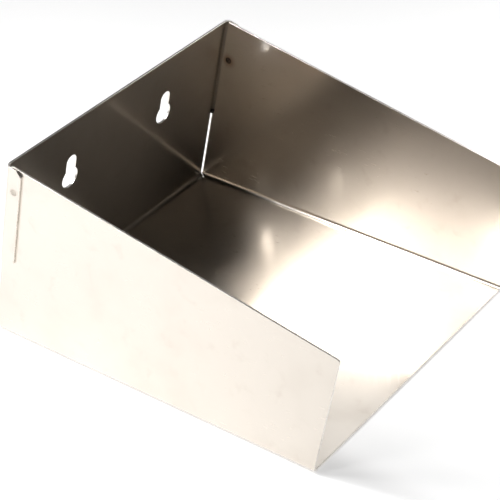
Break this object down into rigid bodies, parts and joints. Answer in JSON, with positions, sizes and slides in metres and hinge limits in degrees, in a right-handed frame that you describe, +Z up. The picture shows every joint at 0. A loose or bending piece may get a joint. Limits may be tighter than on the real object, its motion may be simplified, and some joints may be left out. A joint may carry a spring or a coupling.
{
  "type": "open-fronted hanging tray",
  "caption": "Folded stainless sheet tray with an open front and top, side walls that taper to the front, a leaning back wall and keyhole slots to hang it by.",
  "frame": {"origin": "middle of the bounding box's footprint, on the plane that the floor rests on", "axes": "+X to the tray's right, +Y towards the back wall, +Z up; the open front faces -Y"},
  "size_m": [0.1932, 0.2222, 0.1126],
  "materials": {
    "stainless_sheet": "bright mill finish with faint smudges, close to a mirror",
    "spot_weld": "pressed weld face with a dull heat-tinted ring",
    "tack_weld": "small rough weld bead, dark with oxide"
  },
  "bodies": {
    "root": {"folded_tray": "stainless_sheet", "left_spot_weld": "spot_weld", "right_spot_weld": "spot_weld", "left_corner_tack": "tack_weld", "right_corner_tack": "tack_weld"}
  },
  "joints": []
}
